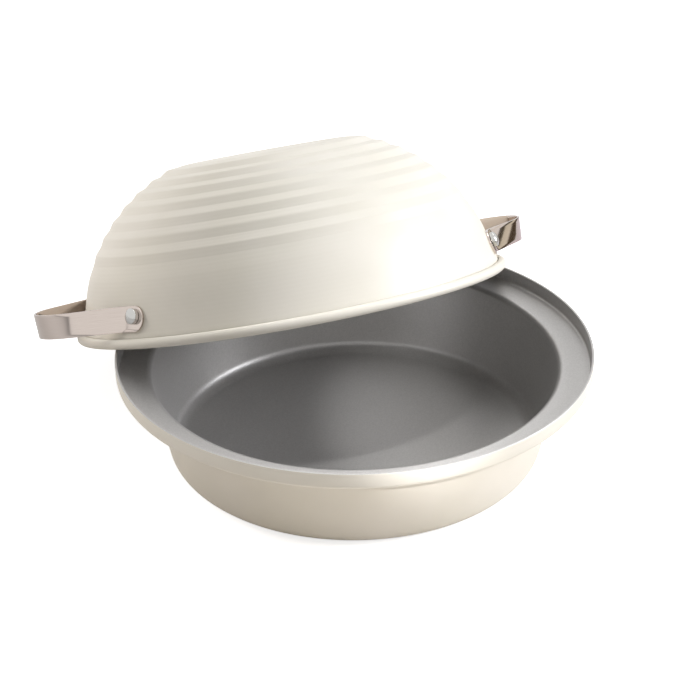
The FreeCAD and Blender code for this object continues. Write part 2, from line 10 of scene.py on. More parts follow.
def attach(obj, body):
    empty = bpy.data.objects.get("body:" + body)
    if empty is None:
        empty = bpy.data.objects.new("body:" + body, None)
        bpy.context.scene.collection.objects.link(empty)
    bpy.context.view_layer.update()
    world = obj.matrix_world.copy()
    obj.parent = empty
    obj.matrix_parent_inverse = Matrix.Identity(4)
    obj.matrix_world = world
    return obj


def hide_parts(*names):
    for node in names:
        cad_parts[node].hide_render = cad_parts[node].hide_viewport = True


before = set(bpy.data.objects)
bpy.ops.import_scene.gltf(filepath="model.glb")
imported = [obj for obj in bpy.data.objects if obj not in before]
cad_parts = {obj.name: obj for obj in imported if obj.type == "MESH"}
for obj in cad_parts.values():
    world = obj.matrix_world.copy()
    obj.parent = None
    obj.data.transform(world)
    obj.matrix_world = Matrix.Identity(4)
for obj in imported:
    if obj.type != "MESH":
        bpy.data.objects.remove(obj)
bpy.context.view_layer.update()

MM = 0.001
IMAGE = 680

# Sizes in millimetres and degrees, the same values as in the CAD source. Only the
# rounds of the lip and of the valleys are this file's own: the solids have a bevel as
# wide as the lip's round, and plain valleys.
PAN_HEIGHT = 70.1
PAN_WALL = 1.5
FOOT_RADIUS = 118.0
FLOOR_CORNER = 11.0
WELL_RADIUS = 129.6
LEDGE_HEIGHT = 58.9
LEDGE_RISE = 0.5
SHOULDER_ROUND = 2.5
RIM_RADIUS = 150.0
RIM_CORNER = 3.0
LIP_ROUND = 0.4

LID_WALL = 1.2
DOME_RADIUS = 111.7
DOME_DROP = 2.35
WALL_LEAN = 14.0
RIB_COUNT = 8
RIB_ANGLE = 68.0
RIB_STEP = 6.4
RISER_ANGLE = 3.2
RIB_DEPTH = 1.5
RIB_FADE = 0.09
CREST_ROUND = 5.0
VALLEY_ROUND = 2.5
CROWN_STEP = 4.6
CROWN_LIFT = 0.7
SMOOTH_ANGLE = 23.5
NECK_HEIGHT = 6.6
NECK_RADIUS = 141.4
BEAD_RADIUS = 3.2
BEAD_TURN = 292.0

LEAN_ANGLE = 22.55
LEAN_HEADING = 115.34
LID_REACH = 96.525

HANDLE_HEADING = 87.1
HANDLE_HEIGHT = 18.2
GRIP_DEPTH = 34.5
STRAP_WIDTH = 15.8
STRAP_THICKNESS = 1.5
GRIP_SHARE = 0.63
GRIP_RISE = 1.4
GRIP_TILT = -4.5
FOOT_BEND = 20.0
FOOT_LEAD = 7.0
END_ROUND = STRAP_WIDTH / 2 + 0.2
SEAT_GAP = 0.1
RIVET_ANGLE = 27.4
RIVET_HEIGHT = HANDLE_HEIGHT + 1.3
RIVET_HEAD = 5.0
RIVET_EDGE = 2.6
RIVET_DOME = 2.1
SHANK_RADIUS = 2.2
SET_RADIUS = 3.9
SET_HEIGHT = 1.3

# Small rounds of the strap's long edges and of the rivets, in millimetres.
STRAP_EDGE = 0.25
HEAD_ROUND = 0.5
SEAT_ROUND = 0.3

# Steps of the meshes: round the axis, and along half a strap.
TURNS = 300
RIVET_TURNS = 64
END_STEPS = 20
LEAD_STEPS = 8
BEND_STEPS = 13
LEG_STEPS = 13
BOW_STEPS = 25


# Small maths helpers
def unit(vectors):
    """Vectors divided by their own lengths."""
    return vectors / np.linalg.norm(vectors, axis=-1, keepdims=True)


def tan_of(degrees):
    """Tangent of an angle in degrees."""
    return np.tan(np.radians(degrees))


def rounded_line(corners, steps=8):
    """Line through corners (x, y, radius), each corner of some radius replaced by
    its tangent arc: the arc's centre lies on the bisector at radius / sin(half
    angle), and its points turn evenly from one tangent point to the other."""
    corners = np.asarray(corners, float)
    points = corners[:, :2]
    line = [points[:1]]
    for before, here, after, radius in zip(points, points[1:], points[2:], corners[1:-1, 2]):
        if radius <= 0:
            line.append(here[None])
            continue
        back = unit(before - here)
        ahead = unit(after - here)
        half = np.arccos(np.clip(back @ ahead, -1, 1)) / 2
        centre = here + unit(back + ahead) * radius / np.sin(half)
        start = here + back * radius / np.tan(half) - centre
        end = here + ahead * radius / np.tan(half) - centre
        first = np.arctan2(start[1], start[0])
        sweep = (np.arctan2(end[1], end[0]) - first + np.pi) % (2 * np.pi) - np.pi
        turn = first + sweep * np.linspace(0, 1, steps + 1)
        line.append(centre + radius * np.column_stack([np.cos(turn), np.sin(turn)]))
    line.append(points[-1:])
    return np.concatenate(line)


def arc_line(centre, radius, first, last, steps):
    """Points on a circle, turning evenly from one angle to the other, in degrees."""
    turn = np.radians(np.linspace(first, last, steps + 1))
    return np.asarray(centre) + radius * np.column_stack([np.cos(turn), np.sin(turn)])


def inner_side(line, wall):
    """The line moved to its right by the wall, along the mean normal at each point,
    lengthened at corners so that the wall keeps its thickness."""
    steps = unit(np.diff(line, axis=0))
    rights = np.column_stack([steps[:, 1], -steps[:, 0]])
    before = np.concatenate([rights[:1], rights])
    after = np.concatenate([rights, rights[-1:]])
    mean = unit(before + after)
    return line + mean * wall / np.maximum((mean * after).sum(1, keepdims=True), 0.5)


# Meshes
def mesh_piece(name, points, faces, materials, smooth=True):
    """Object whose mesh holds the points, given in millimetres."""
    mesh = bpy.data.meshes.new(name)
    mesh.from_pydata((np.asarray(points) * MM).tolist(), [], faces)
    for material in materials:
        mesh.materials.append(material)
    mesh.polygons.foreach_set("use_smooth", np.full(len(mesh.polygons), smooth))
    piece = bpy.data.objects.new(name, mesh)
    bpy.context.scene.collection.objects.link(piece)
    return piece


def point_values(piece, name, values):
    """A number for each point of the mesh, for its material to read."""
    layer = piece.data.attributes.new(name, "FLOAT", "POINT")
    layer.data.foreach_set("value", np.asarray(values, np.float32))


def turned_piece(name, outline, finish_of, materials, place=None, turns=TURNS):
    """Closed outline (radius, height), which starts and ends on the axis, turned
    about Z: point (i, j) is (r_i cos t_j, r_i sin t_j, z_i). The two ends on the
    axis are one point each, joined to the next ring by triangles. finish_of gives
    the material of each stretch between two rings."""
    outline = np.asarray(outline, float)
    turn = 2 * np.pi * np.arange(turns) / turns
    rings = outline[1:-1]
    grid = np.stack([rings[:, :1] * np.cos(turn), rings[:, :1] * np.sin(turn),
                     np.broadcast_to(rings[:, 1:], (len(rings), turns))], axis=-1)
    poles = np.array([[0, 0, outline[0, 1]], [0, 0, outline[-1, 1]]])
    points = np.concatenate([grid.reshape(-1, 3), poles])
    here = np.arange(turns)
    there = (here + 1) % turns
    rows = np.arange(len(rings) - 1)[:, None] * turns
    quads = np.stack([rows + here, rows + there, rows + turns + there,
                      rows + turns + here], axis=-1).reshape(-1, 4)
    first_pole = len(rings) * turns
    last_row = (len(rings) - 1) * turns
    start_fan = np.column_stack([np.full(turns, first_pole), there, here])
    end_fan = np.column_stack([np.full(turns, first_pole + 1), last_row + here,
                               last_row + there])
    faces = quads.tolist() + start_fan.tolist() + end_fan.tolist()
    if place is not None:
        points = points @ place[:3, :3].T + place[:3, 3]
    piece = mesh_piece(name, points, faces, materials)
    finish = np.asarray(finish_of, int)
    slots = np.concatenate([np.repeat(finish[1:-1], turns), np.full(turns, finish[0]),
                            np.full(turns, finish[-1])])
    piece.data.polygons.foreach_set("material_index", slots)
    run = np.concatenate([[0], np.cumsum(np.linalg.norm(np.diff(outline, axis=0), axis=1))])
    values = np.concatenate([np.repeat(run[1:-1], turns), run[:1], run[-1:]])
    point_values(piece, "run_mm", values)
    outward(piece)
    return piece


def outward(piece):
    """Turns the faces of a closed piece so that they point out of its wall."""
    mesh = piece.data
    corners = np.empty(len(mesh.vertices) * 3)
    mesh.vertices.foreach_get("co", corners)
    corners = corners.reshape(-1, 3)
    mesh.calc_loop_triangles()
    triangles = np.empty(len(mesh.loop_triangles) * 3, np.int32)
    mesh.loop_triangles.foreach_get("vertices", triangles)
    a, b, c = corners[triangles.reshape(-1, 3)].transpose(1, 0, 2)
    if np.einsum("ij,ij->i", a, np.cross(b, c)).sum() < 0:
        mesh.flip_normals()
    mesh.update()


# Places
def turn_about_z(degrees):
    """Matrix of a turn about the upright axis."""
    angle = np.radians(degrees)
    matrix = np.eye(4)
    matrix[:2, :2] = [[np.cos(angle), -np.sin(angle)], [np.sin(angle), np.cos(angle)]]
    return matrix


def shifted(across, along, upward):
    """Matrix of a shift along the three axes."""
    matrix = np.eye(4)
    matrix[:3, 3] = across, along, upward
    return matrix


def lid_place():
    """Frame of the leaning lid: X downhill, Y level, Z along the lid's axis."""
    lean, heading = np.radians([LEAN_ANGLE, LEAN_HEADING])
    forward = np.array([np.cos(heading), np.sin(heading), 0])
    axis = forward * np.sin(lean) + np.array([0, 0, np.cos(lean)])
    level = np.array([-np.sin(heading), np.cos(heading), 0])
    matrix = np.eye(4)
    matrix[:3, :3] = np.column_stack([np.cross(level, axis), level, axis])
    matrix[:3, 3] = forward * LID_REACH
    matrix[2, 3] = BEAD_CENTRE * np.sin(lean) + BEAD_RADIUS * (1 - np.cos(lean))
    return matrix


BEAD_CENTRE = NECK_RADIUS - LID_WALL + BEAD_RADIUS
LID = lid_place()


# Materials
def linear(code):
    """sRGB hex colour as linear red, green, blue and alpha."""
    values = [int(code[place:place + 2], 16) / 255 for place in (1, 3, 5)]
    return [v / 12.92 if v <= 0.04045 else ((v + 0.055) / 1.055) ** 2.4 for v in values] + [1.0]


def add(tree, kind, settings=(), links=(), **inputs):
    """A node of the tree with its settings, input values and links, each link being
    (input name or number, node, output name or number)."""
    node = tree.nodes.new(kind)
    for name, value in dict(settings).items():
        setattr(node, name, value)
    for name, value in inputs.items():
        node.inputs[name.replace("_", " ")].default_value = value
    for socket, source, output in links:
        tree.links.new(source.outputs[output], node.inputs[socket])
    return node


def new_material(name):
    """Material with an empty node tree, and that tree."""
    material = bpy.data.materials.new(name)
    material.use_nodes = True
    material.node_tree.nodes.clear()
    return material, material.node_tree


def spread(tree, source, output, low, high, first, last):
    """Colour ramp between two hex colours over a stretch of its input."""
    ramp = add(tree, "ShaderNodeValToRGB", links=[("Fac", source, output)])
    ramp.color_ramp.elements[0].position = first
    ramp.color_ramp.elements[1].position = last
    ramp.color_ramp.elements[0].color = linear(low)
    ramp.color_ramp.elements[1].color = linear(high)
    return ramp


def cream_coating(name, rings):
    """Satin cream heat-proof coating, sprayed on steel and baked: an eggshell sheen
    with a faint orange peel. Where rings is set, the spun sheet's turning marks show
    through it, 2.8 mm apart."""
    material, tree = new_material(name)
    place = add(tree, "ShaderNodeTexCoord")
    # Orange peel of a sprayed coat, about 0.8 mm from dimple to dimple.
    peel = add(tree, "ShaderNodeTexNoise", links=[("Vector", place, "Object")],
               Scale=1250.0, Detail=2.0, Roughness=0.5)
    # Slow change of tone, as of a coat a little thicker in places, about 60 mm wide.
    cloud = add(tree, "ShaderNodeTexNoise", links=[("Vector", place, "Object")],
                Scale=16.0, Detail=2.0, Roughness=0.5)
    tone = spread(tree, cloud, "Fac", CREAM_DEEP, CREAM, 0.35, 0.65)
    bump = add(tree, "ShaderNodeBump", links=[("Height", peel, "Fac")],
               Strength=0.12, Distance=0.00004)
    if rings:
        run = add(tree, "ShaderNodeAttribute", {"attribute_name": "run_mm"})
        turn = add(tree, "ShaderNodeMath", {"operation": "MULTIPLY"},
                   [(0, run, "Fac")])
        turn.inputs[1].default_value = 2 * np.pi / RING_PITCH
        wave = add(tree, "ShaderNodeMath", {"operation": "SINE"}, [(0, turn, 0)])
        bump = add(tree, "ShaderNodeBump", links=[("Height", wave, 0), ("Normal", bump, 0)],
                   Strength=0.3, Distance=0.00003)
    shader = add(tree, "ShaderNodeBsdfPrincipled",
                 links=[("Base Color", tone, "Color"), ("Normal", bump, "Normal")],
                 Roughness=0.42, Coat_Weight=0.08, Coat_Roughness=0.3)
    add(tree, "ShaderNodeOutputMaterial", links=[("Surface", shader, 0)])
    return material


def grey_release_coating():
    """Grey non-stick release coating: a fine metallic grain, about 0.7 mm, in a
    half-matt binder, so that lamps show as broad soft streaks."""
    material, tree = new_material("grey_release_coating")
    place = add(tree, "ShaderNodeTexCoord")
    grain = add(tree, "ShaderNodeTexVoronoi", links=[("Vector", place, "Object")],
                Scale=1400.0, Randomness=1.0)
    speck = spread(tree, grain, "Color", GREY_DEEP, GREY, 0.1, 0.9)
    peel = add(tree, "ShaderNodeTexNoise", links=[("Vector", place, "Object")],
               Scale=900.0, Detail=3.0, Roughness=0.6)
    bump = add(tree, "ShaderNodeBump", links=[("Height", peel, "Fac")],
               Strength=0.15, Distance=0.00005)
    shader = add(tree, "ShaderNodeBsdfPrincipled",
                 links=[("Base Color", speck, "Color"), ("Normal", bump, "Normal")],
                 Metallic=0.5, Roughness=0.38)
    add(tree, "ShaderNodeOutputMaterial", links=[("Surface", shader, 0)])
    return material


def polished_stainless(name, roughness, low, high):
    """Stainless strip, polished along its length: bright reflections a little drawn
    out, with faint lines about 0.3 mm apart that run with the strap."""
    material, tree = new_material(name)
    across = add(tree, "ShaderNodeAttribute", {"attribute_name": "across_mm"})
    along = add(tree, "ShaderNodeAttribute", {"attribute_name": "run_mm"})
    scaled = add(tree, "ShaderNodeMath", {"operation": "MULTIPLY"}, [(0, along, "Fac")])
    scaled.inputs[1].default_value = LINE_STRETCH
    lines = add(tree, "ShaderNodeCombineXYZ", links=[("X", scaled, 0), ("Y", across, "Fac")])
    noise = add(tree, "ShaderNodeTexNoise", links=[("Vector", lines, 0)],
                Scale=3.3, Detail=2.0, Roughness=0.5)
    bump = add(tree, "ShaderNodeBump", links=[("Height", noise, "Fac")],
               Strength=0.03, Distance=0.00003)
    tone = spread(tree, noise, "Fac", low, high, 0.3, 0.7)
    shader = add(tree, "ShaderNodeBsdfPrincipled",
                 links=[("Base Color", tone, "Color"), ("Normal", bump, "Normal")],
                 Metallic=1.0, Roughness=roughness)
    add(tree, "ShaderNodeOutputMaterial", links=[("Surface", shader, 0)])
    return material


CREAM = "#E9E4D9"
CREAM_DEEP = "#E4DFD2"
GREY = "#B9B7B5"
GREY_DEEP = "#AFADAB"
STEEL = "#D3C7BF"
STEEL_DEEP = "#CDC1B9"
RIVET = "#CECDCA"
RIVET_DEEP = "#C8C7C4"
# Millimetres between the spun lid's turning marks.
RING_PITCH = 2.8
# The strap's polishing lines are 50 times as long as they are wide.
LINE_STRETCH = 0.02

PAN_CREAM = cream_coating("satin_cream_coating", False)
LID_CREAM = cream_coating("satin_cream_coating_spun", True)
RELEASE = grey_release_coating()
STRAP_STEEL = polished_stainless("polished_stainless_strip", 0.09, STEEL_DEEP, STEEL)
RIVET_STEEL = polished_stainless("polished_stainless_rivet", 0.2, RIVET_DEEP, RIVET)


# Pan
def make_pan():
    """Outside line from the foot to the lip, inside line one wall away from it, and
    a round lip between them. Cream outside, grey inside and over the lip."""
    rim_height = LEDGE_HEIGHT + LEDGE_RISE
    outside = rounded_line([
        (0, 0, 0),
        (FOOT_RADIUS, 0, FLOOR_CORNER),
        (WELL_RADIUS, LEDGE_HEIGHT, SHOULDER_ROUND),
        (RIM_RADIUS, rim_height, RIM_CORNER),
        (RIM_RADIUS, PAN_HEIGHT - LIP_ROUND, 0),
    ], steps=12)
    inside = inner_side(outside, -PAN_WALL)
    middle = RIM_RADIUS - PAN_WALL / 2
    straight = PAN_WALL / 2 - LIP_ROUND
    over = np.concatenate([
        arc_line((middle + straight, PAN_HEIGHT - LIP_ROUND), LIP_ROUND, 0, 90, 5)[1:],
        arc_line((middle - straight, PAN_HEIGHT - LIP_ROUND), LIP_ROUND, 90, 180, 5)[:-1],
    ])
    inside[0, 0] = 0
    outline = np.concatenate([outside, over, inside[::-1]])
    # The grey starts two steps up the lip's outer round.
    finish = np.zeros(len(outline) - 1, int)
    finish[len(outside) + 1:] = 1
    piece = turned_piece("pan_body", outline, finish, [PAN_CREAM, RELEASE])
    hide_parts("base_pan")
    return piece


# Lid
def on_dome(angle, offset):
    """Point at an angle on the dome's arc, moved outwards by an offset."""
    sine, cosine = np.sin(np.radians(WALL_LEAN)), np.cos(np.radians(WALL_LEAN))
    across = (NECK_RADIUS - DOME_RADIUS * cosine
              - (DOME_RADIUS * sine - DOME_DROP - NECK_HEIGHT) * tan_of(WALL_LEAN))
    reach = DOME_RADIUS + offset
    turn = np.radians(angle)
    return across + reach * np.cos(turn), reach * np.sin(turn) - DOME_DROP


def wall_radius(height):
    """Outer radius of the lid's sloped wall at a height above its rim."""
    return NECK_RADIUS - (height - NECK_HEIGHT) * tan_of(WALL_LEAN)


GRIP_REACH = wall_radius(HANDLE_HEIGHT) + GRIP_DEPTH
GRIP_ROUND = GRIP_SHARE * wall_radius(HANDLE_HEIGHT) * np.sin(np.radians(RIVET_ANGLE))


def dome_line():
    """Outside of the lid from the crown's centre to the top of the rolled rim: for
    each rib a crest above the arc and a valley below it, then the plain arc, the
    sloped wall and the neck."""
    corners = []
    for rib in range(RIB_COUNT):
        riser = RIB_ANGLE - (rib - 1) * RIB_STEP
        half_depth = (RIB_DEPTH - rib * RIB_FADE) / 2
        crest = on_dome(riser + RISER_ANGLE / 2, half_depth)
        valley = on_dome(riser - RISER_ANGLE / 2, -half_depth)
        if rib == 0:
            crest = valley[0] - CROWN_STEP, valley[1] + CROWN_LIFT
            corners.append((0, crest[1], 0))
        corners += [(*crest, CREST_ROUND), (*valley, VALLEY_ROUND)]
    flank = [on_dome(angle, 0) for angle in np.linspace(SMOOTH_ANGLE, WALL_LEAN, 12)]
    corners += [(*point, 0) for point in flank]
    corners += [(NECK_RADIUS, NECK_HEIGHT, 2.0), (NECK_RADIUS, BEAD_RADIUS, 0)]
    return rounded_line(corners, steps=6)


def make_lid():
    """Outside line, the roll's inner arc, its cut edge and its outer arc, and the
    inside line back to the crown. The roll is cream with the outside."""
    outside = dome_line()
    inside = inner_side(outside, LID_WALL)
    inside[0, 0] = 0
    centre = (BEAD_CENTRE, BEAD_RADIUS)
    last = 180 + BEAD_TURN
    roll_inside = arc_line(centre, BEAD_RADIUS - LID_WALL, 180, last, 26)[1:]
    roll_outside = arc_line(centre, BEAD_RADIUS, last, 180, 32)[:-1]
    outline = np.concatenate([outside, roll_inside, roll_outside, inside[::-1]])
    finish = np.zeros(len(outline) - 1, int)
    finish[len(outside) + len(roll_inside) + len(roll_outside) - 2:] = 1
    piece = turned_piece("lid_dome", outline, finish, [LID_CREAM, RELEASE], LID)
    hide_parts("lid_shell")
    return piece


# Handles
def grip_tilt():
    """Turn about the line between the rivets that raises the grip, and its angle."""
    pivot = wall_radius(HANDLE_HEIGHT) * np.cos(np.radians(RIVET_ANGLE))
    slope = np.arctan2(GRIP_RISE, GRIP_REACH - pivot)
    tilt = np.eye(4)
    tilt[0, 0] = tilt[2, 2] = np.cos(slope)
    tilt[0, 2], tilt[2, 0] = -np.sin(slope), np.sin(slope)
    return shifted(pivot, 0, 0) @ tilt @ shifted(-pivot, 0, 0), slope


def strap_half(edge):
    """Inner face of half a strap along one edge, from its end to the grip's middle:
    points, the direction in which the strap's thickness lies, and how far a point is
    past the centre of the rounded end, towards its tip, or below 0 away from it. A
    foot on the wall, a bend away from it, a straight leg and half of the grip's bend."""
    slope = grip_tilt()[1]
    half = edge * STRAP_WIDTH / 2
    foot_slope = tan_of(WALL_LEAN) - np.tan(slope) * np.cos(np.radians(RIVET_ANGLE))
    foot_radius = wall_radius(HANDLE_HEIGHT) + SEAT_GAP - half * foot_slope
    bend = FOOT_BEND + STRAP_THICKNESS
    grip = GRIP_ROUND - STRAP_THICKNESS
    grip_centre = np.array([GRIP_REACH - GRIP_ROUND - half * tan_of(GRIP_TILT), 0])
    rivet = np.radians(RIVET_ANGLE)
    tail = rivet + END_ROUND / foot_radius
    lead = rivet - FOOT_LEAD / foot_radius
    bend_centre = np.array([np.cos(lead), np.sin(lead)]) * (foot_radius + bend)
    apart = bend_centre - grip_centre
    facing = (np.arctan2(apart[1], apart[0])
              - np.arccos((grip + bend) / np.linalg.norm(apart)))
    normal = np.array([np.cos(facing), np.sin(facing)])

    # The rounded end needs close steps near its tip.
    end_share = END_ROUND / (END_ROUND + FOOT_LEAD)
    end_turn = np.linspace(0, np.pi / 2, END_STEPS)
    foot_share = np.concatenate([end_share * (1 - np.cos(end_turn)),
                                 np.linspace(end_share, 1, LEAD_STEPS)[1:]])
    foot_turn = tail + (lead - tail) * foot_share
    foot_out = np.column_stack([np.cos(foot_turn), np.sin(foot_turn)])
    foot = foot_radius * foot_out
    bend_turn = np.linspace(lead, facing, BEND_STEPS + 1)[1:] + np.pi
    bend_out = -np.column_stack([np.cos(bend_turn), np.sin(bend_turn)])
    bend_line = bend_centre - bend * bend_out
    leg_share = np.linspace(0, 1, LEG_STEPS + 1)[1:, None]
    leg_start = bend_centre - normal * bend
    leg_end = grip_centre + normal * grip
    leg = leg_start + (leg_end - leg_start) * leg_share
    leg_out = np.broadcast_to(normal, leg.shape)
    bow_turn = np.linspace(facing, 0, BOW_STEPS + 1)[1:]
    bow_out = np.column_stack([np.cos(bow_turn), np.sin(bow_turn)])
    bow = grip_centre + grip * bow_out
    end_gap = (1 - foot_share / end_share) * END_ROUND
    end_gap = np.concatenate([end_gap, np.full(BEND_STEPS + LEG_STEPS + BOW_STEPS, -1.0)])
    return (np.concatenate([foot, bend_line, leg, bow]),
            np.concatenate([foot_out, bend_out, leg_out, bow_out]), end_gap)


def strap_section():
    """Round-cornered section of the strap as (side, inset, depth): a point lies at
    side * (half width - inset) across and at depth through the strap."""
    quarter = np.radians(np.linspace(0, 90, 4))
    inset = STRAP_EDGE * (1 - np.cos(quarter))
    rise = STRAP_EDGE * np.sin(quarter)
    side = np.ones(len(quarter))
    face = np.linspace(0.75, -0.75, 7)
    level = np.full(len(face), STRAP_EDGE)
    return np.concatenate([
        np.column_stack([side, inset, STRAP_THICKNESS - STRAP_EDGE + rise]),
        np.column_stack([face, level, np.full(len(face), STRAP_THICKNESS)]),
        np.column_stack([-side, inset[::-1], STRAP_THICKNESS - STRAP_EDGE + rise[::-1]]),
        np.column_stack([-side, inset, STRAP_EDGE - rise]),
        np.column_stack([face[::-1], level, np.zeros(len(face))]),
        np.column_stack([side, inset[::-1], STRAP_EDGE - rise[::-1]]),
    ])


def make_strap(name, node, turn):
    """Section carried along the strap's bow. Between its lower and upper edge the
    strap is ruled: a point at w across is lower + (upper - lower) * w. The half
    width follows a circle of END_ROUND towards each end."""
    lower, lower_out, end_gap = strap_half(-1)
    upper, upper_out, end_gap = strap_half(1)

    def whole(half):
        """Half a strap and its mirror image across the grip's middle."""
        return np.concatenate([half, half[::-1][1:] * np.array([1, -1])])

    lower, upper, lower_out, upper_out = map(whole, (lower, upper, lower_out, upper_out))
    gap = np.concatenate([end_gap, end_gap[::-1][1:]])
    half_width = np.minimum(STRAP_WIDTH / 2,
                            np.sqrt(np.maximum(END_ROUND ** 2 - np.maximum(gap, 0) ** 2, 0)))
    section = strap_section()
    inset = np.minimum(section[:, 1], half_width[:, None] * 0.999)
    across = section[:, 0] * (half_width[:, None] - inset)
    share = (across / STRAP_WIDTH + 0.5)[..., None]
    flat = lower[:, None] * (1 - share) + upper[:, None] * share
    out = unit(lower_out[:, None] * (1 - share) + upper_out[:, None] * share)
    flat = flat + out * section[:, 2][None, :, None]
    grid = np.concatenate([flat, across[..., None]], axis=-1)
    rows, columns = grid.shape[:2]
    points = grid.reshape(-1, 3)

    place = LID @ shifted(0, 0, HANDLE_HEIGHT) @ turn_about_z(HANDLE_HEADING + turn)
    place = place @ grip_tilt()[0]
    points = points @ place[:3, :3].T + place[:3, 3]
    here = np.arange(columns)
    there = (here + 1) % columns
    row = np.arange(rows - 1)[:, None] * columns
    quads = np.stack([row + here, row + there, row + columns + there, row + columns + here],
                     axis=-1).reshape(-1, 4)
    caps = [here.tolist()[::-1], (here + (rows - 1) * columns).tolist()]
    piece = mesh_piece(name, points, quads.tolist() + caps, [STRAP_STEEL])
    run = np.concatenate([[0], np.cumsum(np.linalg.norm(np.diff(lower, axis=0), axis=1))])
    point_values(piece, "run_mm", np.repeat(run, columns))
    point_values(piece, "across_mm", across.reshape(-1))
    outward(piece)
    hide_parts(node)
    return piece


# Rivets
def make_rivet(name, node, turn, way):
    """Set head inside the lid, shank and low domed head, turned about the rivet's
    axis, which stands square on the lid's wall."""
    grip = SET_HEIGHT + LID_WALL + STRAP_THICKNESS + 3 * SEAT_GAP
    dome = (RIVET_HEAD ** 2 + RIVET_DOME ** 2) / (2 * RIVET_DOME)
    top = grip + RIVET_EDGE + RIVET_DOME
    widest = np.degrees(np.arcsin(RIVET_HEAD / dome))
    cap = arc_line((0, top - dome), dome, 90, 90 - widest, 12)
    outline = rounded_line(
        [(*point, 0) for point in cap[:-1]]
        + [(*cap[-1], HEAD_ROUND), (RIVET_HEAD, grip, SEAT_ROUND), (SHANK_RADIUS, grip, 0),
           (SHANK_RADIUS, SET_HEIGHT, 0), (SET_RADIUS, SET_HEIGHT, SEAT_ROUND),
           (SET_RADIUS, 0, HEAD_ROUND), (0, 0, 0)], steps=5)
    outline[0, 0] = 0
    angle = np.radians(HANDLE_HEADING + turn + way * RIVET_ANGLE)
    lean = np.radians(WALL_LEAN)
    spoke = np.array([np.cos(angle), np.sin(angle), 0])
    outward_way = spoke * np.cos(lean) + np.array([0, 0, np.sin(lean)])
    beside = np.cross([0, 0, 1], spoke)
    seat = np.eye(4)
    seat[:3, :3] = np.column_stack([beside, np.cross(outward_way, beside), outward_way])
    seat[:3, 3] = spoke * wall_radius(RIVET_HEIGHT)
    seat[2, 3] += RIVET_HEIGHT
    place = LID @ seat @ shifted(0, 0, -(SET_HEIGHT + LID_WALL + SEAT_GAP))
    piece = turned_piece(name, outline, np.zeros(len(outline) - 1, int), [RIVET_STEEL],
                         place, turns=RIVET_TURNS)
    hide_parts(node)
    return piece


pieces = [make_pan(), make_lid()]
for side, turn, front in (("left", 0.0, 1.0), ("right", 180.0, -1.0)):
    pieces.append(make_strap(side + "_strap", side + "_handle", turn))
    for end, way in (("front", front), ("rear", -front)):
        pieces.append(make_rivet("%s_%s_rivet_body" % (side, end),
                                 "%s_%s_rivet" % (side, end), turn, way))
for piece in pieces:
    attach(piece, "root")


# Camera: found by fitting the outlines of pan and lid to the photograph.
FOCAL_PIXELS = 1722.9
DISTANCE = 1059.3
ELEVATION = 25.817
AIM_HEIGHT = 129.86
CENTRE_ACROSS = 353.51
CENTRE_DOWN = 258.68
ROLL = -0.0102

SENSOR = 36.0
camera_data = bpy.data.cameras.new("camera")
camera_data.sensor_width = SENSOR
camera_data.lens = SENSOR * FOCAL_PIXELS / IMAGE
camera_data.shift_x = (IMAGE / 2 - CENTRE_ACROSS) / IMAGE
camera_data.shift_y = (CENTRE_DOWN - IMAGE / 2) / IMAGE
camera = bpy.data.objects.new("camera", camera_data)
bpy.context.scene.collection.objects.link(camera)
elevation = np.radians(ELEVATION)
forward = np.array([0, np.cos(elevation), -np.sin(elevation)])
upward = np.array([0, np.sin(elevation), np.cos(elevation)])
right = np.array([1.0, 0, 0])
rolled_right = np.cos(ROLL) * right + np.sin(ROLL) * upward
rolled_up = np.cos(ROLL) * upward - np.sin(ROLL) * right
where = (np.array([0, 0, AIM_HEIGHT]) - forward * DISTANCE) * MM
matrix = np.eye(4)
matrix[:3, :3] = np.column_stack([rolled_right, rolled_up, -forward])
matrix[:3, 3] = where
camera.matrix_world = Matrix(matrix.tolist())
bpy.context.scene.camera = camera


# Studio
WORLD_LIGHT = 0.27
PAPER = "#E6E6E6"
PAPER_BOUNCE = "#E4DDD5"
PAPER_LIFT = 0.70
FLOOR_REACH = 4000.0

# The card's foot: its middle in millimetres and the way along it. Its bands are (share of the
# height, colour): painted reflections in cream, dark brown and white, which the right strap
# mirrors as stripes.
CARD_MIDDLE = (250.0, 210.0, 0.0)
CARD_ALONG = (-0.736, 0.677, 0.0)
CARD_WIDTH = 300.0
CARD_HEIGHT = 130.0
CARD_BANDS = [(0.0, "#E6DEE4"), (0.40, "#E6DEE4"), (0.415, "#FFFFFF"), (0.43, "#7A6C58"),
              (0.45, "#54483A"), (0.54, "#54483A"), (0.555, "#EDE6D6"), (0.67, "#E2DCC8"),
              (0.68, "#5A5448"), (0.77, "#5A5448"), (0.79, "#FFFFFF"), (1.0, "#F4F0E8")]


def lamp_at(name, kind, place, aim, watts, colour):
    """Lamp of a kind, turned from its place towards its aim, both in metres."""
    data = bpy.data.lights.new(name, kind)
    data.energy = watts
    data.color = linear(colour)[:3]
    lamp = bpy.data.objects.new(name, data)
    bpy.context.scene.collection.objects.link(lamp)
    lamp.location = place
    lamp.rotation_euler = (Vector(aim) - Vector(place)).to_track_quat("-Z", "Y").to_euler()
    return lamp


def soft_box(name, place, aim, width, height, watts, colour):
    """Square lamp with its width and height in metres."""
    lamp = lamp_at(name, "AREA", place, aim, watts, colour)
    lamp.data.shape = "RECTANGLE"
    lamp.data.size = width
    lamp.data.size_y = height
    return lamp


def spot_lamp(name, place, aim, degrees, radius, watts, colour):
    """Spot that fades from the middle of its cone to the edge; its radius in metres
    softens its shadows."""
    lamp = lamp_at(name, "SPOT", place, aim, watts, colour)
    lamp.data.spot_size = np.radians(degrees)
    lamp.data.spot_blend = 1.0
    lamp.data.shadow_soft_size = radius
    return lamp


